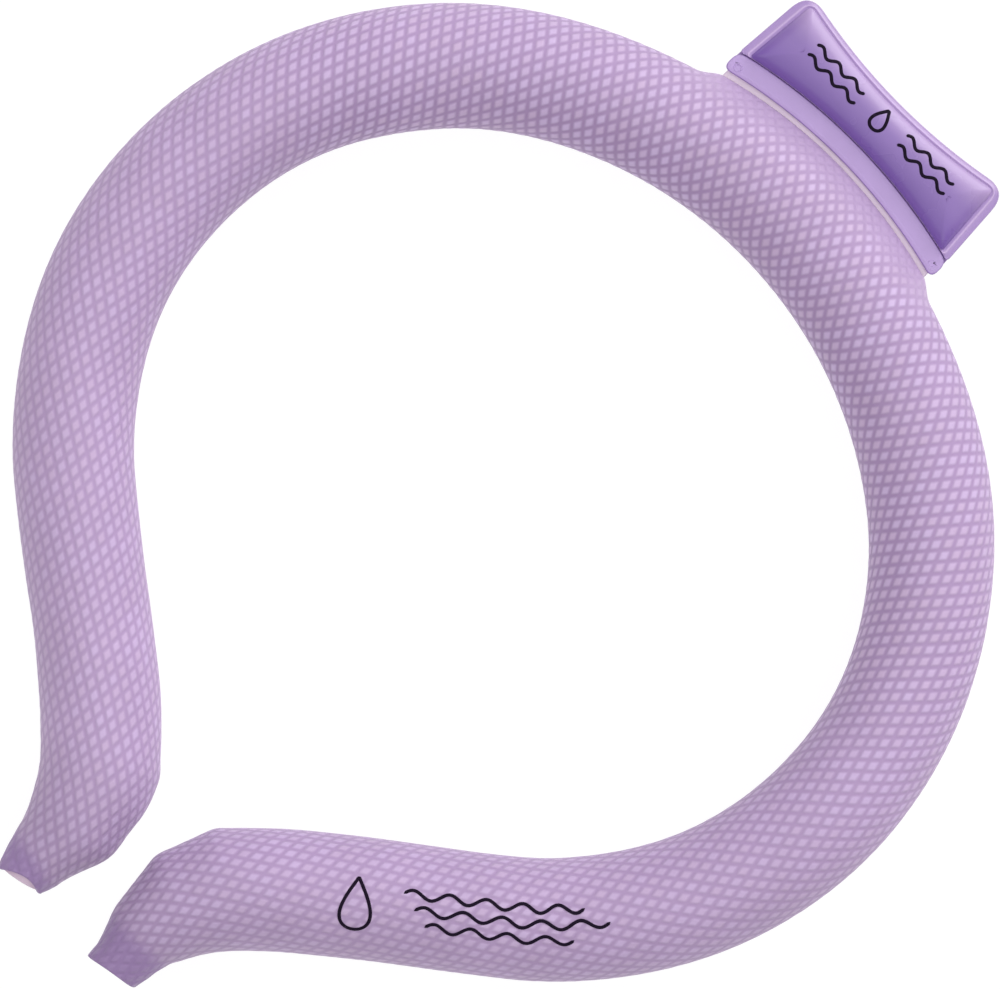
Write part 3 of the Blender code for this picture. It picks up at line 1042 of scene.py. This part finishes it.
@dataclass
class PuffedFilm:
    """One film of the tag: a flat welded rim with a raised bead, round a puffed dome."""

    plan: TagPlan
    layer: Layer
    pouch: PouchFilm
    thickness: float = 0.0009
    dome_height: float = 0.0022
    bead_height: float = 0.00020
    bead_at: float = 0.69
    bead_spread: float = 0.13
    line_depth: float = 0.00008
    line_at: float = 0.24
    line_spread: float = 0.07
    edge_round: float = 0.00035
    foot_corner: float = 0.0008
    dome_steps: Steps = (0, 0.015, 0.04, 0.08, 0.13, 0.2, 0.29, 0.4, 0.53, 0.67, 0.81, 0.93)
    rim_steps: Steps = (0.1, 0.17, 0.24, 0.31, 0.4, 0.5, 0.57, 0.63, 0.69, 0.75, 0.81, 0.87, 0.94, 1)

    @property
    def level(self) -> float:
        """The height of the film's welded face."""
        return self.plan.path.tube_radius + self.layer.value * self.plan.gap / 2

    def dome(self, inward: Array) -> Array:
        """The dome's height by how far a point has come from the edge to the middle: a quarter circle."""
        return self.dome_height * np.sqrt(np.clip(1 - (1 - inward) ** 2, 0, 1))

    def outer_height(self, x: Array, y: Array) -> Array:
        """The height of the film's outer face over a point of the pouch.

        Args:
            x: places across the tag.
            y: places in Y, from the back arc's centre.

        Returns:
            The heights.
        """
        foot = np.sqrt(self.plan.pouch_foot**2 - x**2)
        far = self.plan.top_height(x, self.plan.top_rim)
        inward = np.clip(1 - np.abs(2 * y - foot - far) / (far - foot), 0, 1)
        return self.level + self.layer.value * (self.thickness + self.dome(inward))

    def foot_radius(self) -> float:
        """The rim's foot: past the band in front, and under its middle at the back."""
        if self.layer is Layer.FRONT:
            return self.plan.band_radius + self.plan.band_width + self.plan.film_seam
        return self.plan.band_radius + self.plan.band_width / 2 + self.plan.gap / 2

    def section(self) -> tuple[list[Array], Array, Array, Array]:
        """The film's section, from the middle of its inner face, round the rim's edge, to its outer face.

        Returns:
            The plan loops, their heights over the welded face, and how much of each is rim and bead.
        """
        plan = self.plan
        rim = plan.outline(self.foot_radius(), (0, 0), (self.foot_corner, plan.corner_radius))
        edge_insets = (plan.side_rim, plan.top_rim)
        edge = plan.outline(plan.pouch_foot, edge_insets, (self.foot_corner, plan.pouch_corner))
        spine = plan.spine(edge)
        inward = np.array(self.dome_steps)
        dome = self.dome(inward)
        steps = np.array(self.rim_steps)
        bead = np.exp(-(((steps - self.bead_at) / self.bead_spread) ** 2))
        line = np.exp(-(((steps - self.line_at) / self.line_spread) ** 2))
        side = np.array((0.0, self.edge_round, self.thickness - self.edge_round, self.thickness - 0.0001))
        top = self.thickness + self.bead_height * bead - self.line_depth * line
        under = [edge * (1 - share) + spine * share for share in inward[::-1]]
        weld = [rim * (1 - share) + edge * share for share in (0.02, 0.0, 0.0, 0.05, *steps)]
        over = [edge * (1 - share) + spine * share for share in inward[1:]]
        heights = np.concatenate((dome[::-1], side, top, self.thickness + dome[1:]))
        on_rim = np.concatenate((np.zeros(len(under)), np.ones(len(weld)), np.zeros(len(over))))
        on_rim[len(under) + len(weld) - 1] = 0.6
        beaded = np.concatenate((np.zeros(len(under) + len(side)), bead, np.zeros(len(over))))
        return under + weld + over, heights, on_rim[:, None], beaded[:, None]

    def build(self) -> bpy.types.Object:
        """Builds the film. The back one is the front one turned over, so its points run the other way."""
        plan = self.plan
        loops, heights, on_rim, beaded = self.section()
        points = plan.lift(loops, self.level + self.layer.value * heights)
        local_y = points[..., 1] - plan.path.center_y
        foot = np.sqrt(np.clip(plan.pouch_foot**2 - points[..., 0] ** 2, 0, None))
        far = plan.top_height(points[..., 0], plan.top_rim)
        # across also drives the pouch's painted shade at the foot and painted light on the far slope
        across = np.clip((local_y - foot) / (far - foot), 0, 1.1)
        # painted light: the rim along the far edge, where the key falls, is given the paler bead colour
        beaded = np.maximum(beaded, 0.7 * smooth_step(across, 0.97, 1.04))
        name, slot = "tag_pouch", "pouch_film"
        if self.layer is Layer.BACK:
            points, across, beaded = points[:, ::-1], across[:, ::-1], beaded[:, ::-1]
            name, slot = "tag_backing", "welded_film"
        values = {"rim": on_rim, "across": across, "bead": beaded}
        film = ring_piece(name, points, self.pouch.dress(), values=values)
        settle(film, slot, f"tag_{self.layer.name.lower()}_film")
        return film


@dataclass
class WeldStrip:
    """A flat strip along the back arc, whose top carries low beads along its edges."""

    plan: TagPlan
    name: str
    node: str
    slot: str
    film: WeldedFilm
    inner: float
    outer: float
    half_width: float
    top: float
    thickness: float = 0.0007
    end_radius: float = 0.0016
    edge_round: float = 0.0003
    bead: float = 0.00004
    bead_inset: float = 0.0006
    bead_spread: float = 0.00016

    def build(self) -> bpy.types.Object:
        """Builds the strip: loops inwards at rising insets, whose heights are the top's profile."""
        half = (self.outer - self.inner) / 2
        round_off = min(self.edge_round, half / 3)
        turn = np.linspace(0, pi / 2, 5)
        across = np.linspace(round_off, half * 0.85, 16)[1:]
        bead_at = min(self.bead_inset, half * 0.5)
        raised = self.bead * np.exp(-(((across - bead_at) / self.bead_spread) ** 2))
        insets = [half * 0.85, half * 0.4, round_off * 0.6, 0, *(round_off * (1 - np.cos(turn))), *across]
        crown = self.thickness - round_off + round_off * np.sin(turn)
        heights = [0, 0, 0, round_off * 0.6, *crown, *(self.thickness + raised)]
        sizes = (self.inner, self.outer, self.half_width, self.end_radius)
        loops = [self.plan.strip(*sizes, inset) for inset in insets]
        points = self.plan.lift(loops, [self.top - self.thickness + height for height in heights])
        # The underside, the outer wall and the lower part of the rounded edge take the deeper colour, which
        # draws a darker line round the strip.
        pressed = np.where(np.arange(len(insets)) < 7, 0.8, 0.0)
        strip = ring_piece(self.name, points, self.film.dress(), values={"pressed": pressed[:, None]})
        return settle(strip, self.slot, self.node)


@dataclass
class SpotWeld:
    """A small raised ring where the band's end is spot welded, half sunk in the band."""

    plan: TagPlan
    name: str
    film: WeldedFilm
    x: float
    y: float
    top: float
    radius: float = 0.00062
    bead_radius: float = 0.00013
    points: int = 32

    def build(self) -> bpy.types.Object:
        """Builds the ring: the circle's radius plus the bead's times the cosine, and its sine for height."""
        around = 2 * pi * np.arange(self.points)[:, None] / self.points
        turn = 2 * pi * np.arange(12)[None, :] / 12
        reach = self.radius + self.bead_radius * np.cos(turn)
        x = self.x + reach * np.sin(around)
        y = self.plan.path.center_y + self.y + reach * np.cos(around)
        z = self.top + self.bead_radius * np.sin(turn) + 0 * around
        values = {"pressed": np.zeros((1, 1))}
        ring = ring_piece(self.name, np.stack((x, y, z), axis=-1), self.film.dress(), True, values)
        return settle(ring, "welded_film")


@dataclass(frozen=True)
class Stroke:
    """One stroke of ink, as points on the surface, in metres from the motif's middle."""

    x: Array
    y: Array


def wave(x: float, y: float, length: float, height: float, turns: float) -> Stroke:
    """A wave from one point along X: its height times the sine of the way along it."""
    t = np.linspace(0, 1, 90)
    return Stroke(x + length * t, y + height * np.sin(2 * pi * turns * t))


def drop(x: float, y: float, width: float, height: float) -> Stroke:
    """A water drop: a circle's points whose width shrinks as they near the tip."""
    t = np.linspace(-pi * 0.985, pi * 0.985, 120)
    narrow = np.abs(np.cos(t / 2)) ** 1.4
    return Stroke(x + width / 2 * 1.22 * np.sin(t) * narrow, y - height / 2 * np.cos(t))


@dataclass
class InkMotif:
    """A plain water motif in dark ink: strokes carried along paths that lie on a surface."""

    name: str
    ink: MotifInk
    strokes: list[Stroke]
    slot: str
    line_width: float = 0.00056
    ink_height: float = 0.00005

    def half_widths(self, stroke: Stroke) -> Array:
        """The ribbon's half width in plan, as vectors across the path that round off at both ends."""
        dx = np.gradient(stroke.x)
        dy = np.gradient(stroke.y)
        length = np.hypot(dx, dy)
        run = np.concatenate(([0], np.cumsum(np.hypot(np.diff(stroke.x), np.diff(stroke.y)))))
        half = self.line_width / 2
        to_end = np.minimum(run, run[-1] - run)
        width = half * np.sqrt(np.clip(1 - np.clip(1 - to_end / half, 0, 0.98) ** 2, 0, 1))
        return np.stack((-dy / length * width, dx / length * width), axis=-1)

    def ribbon(self, stroke: Stroke, surface: "Surface") -> Array:
        """Rings of points round one stroke, from its bottom edge over its top."""
        side = self.half_widths(stroke)
        share = np.array([-1.0, -0.55, 0.0, 0.55, 1.0, 0.5, 0.0, -0.5])
        lift = np.array([0.35, 1.0, 1.0, 1.0, 0.35, -0.3, -0.3, -0.3]) * self.ink_height
        x = stroke.x[:, None] + side[:, :1] * share
        y = stroke.y[:, None] + side[:, 1:] * share
        return surface.points(x, y, np.broadcast_to(lift, x.shape))

    def build(self, surface: "Surface") -> list[bpy.types.Object]:
        """Builds each stroke as a thin closed ribbon on the surface.

        Args:
            surface: what the motif lies on.

        Returns:
            The strokes.
        """
        material = self.ink.dress()
        made = []
        for number, stroke in enumerate(self.strokes):
            rings = self.ribbon(stroke, surface)
            made.append(settle(ring_piece(f"{self.name}_{number + 1}", rings, material), self.slot))
        return made


@dataclass
class Surface:
    """A surface that ink lies on."""

    def points(self, x: Array, y: Array, lift: Array) -> Array:
        """Points over the surface at plan places and a height above it."""
        raise NotImplementedError


@dataclass
class TubeSurface(Surface):
    """The tube's top about one mark: X runs along the tube to the back, Y across it to the ring's inside."""

    path: RingPath
    mark: float

    def points(self, x: Array, y: Array, lift: Array) -> Array:
        """The tube's points at a mark less X, and at the top's angle plus Y over the radius."""
        return self.path.skin(self.mark - x, pi / 2 + y / self.path.tube_radius, -lift)


@dataclass
class PouchSurface(Surface):
    """The top of the tag's pouch, about a point in plan."""

    film: PuffedFilm
    middle_y: float

    def points(self, x: Array, y: Array, lift: Array) -> Array:
        """The film's outer face, raised by the lift."""
        local = self.middle_y + y
        z = self.film.outer_height(x, local) + lift
        return np.stack((x, local + self.film.plan.path.center_y, z), axis=-1)


@dataclass
class Studio:
    """A pale floor, soft light from above, a low key from the tag's side, and the camera straight above."""

    middle: tuple[float, float] = (-0.00009, 0.00365)
    turn: float = atan2(0.7118, 0.7024)
    view_width: float = 0.164
    distance: float = 0.95
    object_middle: float = 0.01025
    sensor: float = 0.036
    fill: float = 0.30
    top: float = 1.73
    top_spread: float = radians(100)
    key: float = 1.57
    key_height: float = radians(22)
    key_spread: float = radians(45)
    floor_half: float = 1.5

    def lay_floor(self) -> None:
        """Lays the floor."""
        corners = np.array([(-1, -1), (1, -1), (1, 1), (-1, 1)], dtype=float) * self.floor_half
        mesh = bpy.data.meshes.new("studio_floor")
        mesh.from_pydata([(x, y, 0.0) for x, y in corners], [], [(0, 1, 2, 3)])
        mesh.materials.append(StudioFloor().dress())
        floor = bpy.data.objects.new("studio_floor", mesh)
        bpy.context.scene.collection.objects.link(floor)

    def hang_sun(self, name: str, strength: float, spread: float, height: float) -> None:
        """Hangs one soft sun in the tag's direction.

        Args:
            name: the lamp's name.
            strength: its strength.
            spread: how wide it looks from the floor.
            height: how high it stands, a quarter turn for straight above.
        """
        sun = bpy.data.lights.new(name, "SUN")
        sun.energy = strength
        sun.angle = spread
        lamp = bpy.data.objects.new(name, sun)
        lamp.rotation_euler = (height - pi / 2, 0, 0)
        bpy.context.scene.collection.objects.link(lamp)

    def light(self) -> None:
        """Hangs the light: a weak white world, a wide soft light above and a low key from the tag's side."""
        world = bpy.data.worlds.new("studio light")
        world.use_nodes = True
        back = world.node_tree.nodes["Background"]
        back.inputs["Color"].default_value = (1, 1, 1, 1)
        back.inputs["Strength"].default_value = self.fill
        bpy.context.scene.world = world
        self.hang_sun("soft_top", self.top, self.top_spread, pi / 2)
        self.hang_sun("soft_key", self.key, self.key_spread, self.key_height)

    def place_camera(self) -> None:
        """Puts the camera straight above, turned as the picture is."""
        camera = bpy.data.cameras.new("camera")
        camera.sensor_width = self.sensor * 1000
        camera.lens = camera.sensor_width * self.distance / self.view_width
        camera.clip_end = 10
        holder = bpy.data.objects.new("camera", camera)
        holder.location = (*self.middle, self.object_middle + self.distance)
        holder.rotation_euler = (0, 0, self.turn)
        bpy.context.scene.collection.objects.link(holder)
        bpy.context.scene.camera = holder

    def build(self) -> None:
        """Sets up the studio."""
        bpy.context.scene.view_settings.view_transform = "Standard"
        self.lay_floor()
        self.light()
        self.place_camera()


def dress_gel() -> None:
    """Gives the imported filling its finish."""
    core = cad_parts["gel_core"]
    core.data.materials.clear()
    core.data.materials.append(CoolingGel().dress())
    log.info("gel_core: finished")


def build_tag(path: RingPath) -> None:
    """Builds the tag: its margin on the tube, the two films, the band, its spot welds and the motif."""
    plan = TagPlan(path)
    band_top = path.tube_radius + plan.gap / 2 + 0.0007
    margin = WeldedFilm("clear margin", (0.82, 0.69, 0.80), (0.62, 0.47, 0.64))
    welded = WeldedFilm("welded band", (0.475, 0.340, 0.640), (0.33, 0.215, 0.50))
    half_width = plan.foot_width / 2 + 0.0001
    WeldStrip(
        plan,
        name="weld_margin",
        node="seam_flange",
        slot="clear_film",
        film=margin,
        inner=path.edge_radius + 0.0004,
        outer=plan.band_radius + plan.band_width / 2 - plan.gap / 2,
        half_width=half_width - 0.0009,
        top=path.tube_radius + 0.0001,
        end_radius=0.0006,
        bead=0.00002,
    ).build()
    WeldStrip(
        plan,
        name="weld_band",
        node="tag_band",
        slot="welded_film",
        film=welded,
        inner=plan.band_radius,
        outer=plan.band_radius + plan.band_width,
        half_width=half_width,
        top=band_top,
    ).build()
    front = PuffedFilm(plan, Layer.FRONT, PouchFilm())
    front.build()
    PuffedFilm(plan, Layer.BACK, PouchFilm()).build()
    left = SpotWeld(plan, "left_spot_weld", welded, x=-0.02247, y=0.0929, top=band_top)
    right = SpotWeld(plan, "right_spot_weld", welded, x=0.0226, y=0.0930, top=band_top - 0.00004)
    right.radius, right.bead_radius = 0.00055, 0.00008
    left.build()
    right.build()
    marks = [drop(0.0, 0.0, 0.0030, 0.0042)]
    for height in (0.0011, -0.0011):
        marks += [wave(-0.0160, height, 0.0112, 0.0005, 3.0), wave(0.0048, height, 0.0112, 0.0005, 3.0)]
    motif = InkMotif("tag_motif", MotifInk(), marks, "pouch_film")
    motif.build(PouchSurface(front, plan.path.edge_radius + 0.0111))


def build_ring(path: RingPath) -> None:
    """Builds the printed tube, the two end seals and the motif on the right leg."""
    FilmTube(path, PrintedFilm()).build()
    pale = WeldedFilm("pale seal", (0.62, 0.47, 0.60), (0.70, 0.57, 0.68), 0.42)
    closed = WeldedFilm("closed seal", (0.30, 0.185, 0.43), (0.27, 0.16, 0.40), 0.42)
    EndSeal(path, Side.LEFT, pale, "left_end_plug").build()
    EndSeal(path, Side.RIGHT, closed, "right_end_plug").build()
    marks = [drop(0.0, 0.0, 0.0058, 0.0090)]
    marks += [wave(0.0075, 0.0026, 0.0300, 0.0007, 5.0)]
    marks += [wave(0.0095, 0.0, 0.0320, 0.0007, 5.0)]
    marks += [wave(0.0115, -0.0026, 0.0240, 0.0007, 4.0)]
    InkMotif("leg_motif", MotifInk(), marks, "printed_film").build(TubeSurface(path, 0.1905))


def main() -> None:
    """Builds the studio and the ring, piece by piece."""
    logging.basicConfig(level=logging.INFO, format="%(message)s")
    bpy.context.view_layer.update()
    path = RingPath()
    Studio().build()
    build_ring(path)
    build_tag(path)
    dress_gel()
    bpy.context.view_layer.update()


if __name__ == "__main__":
    main()
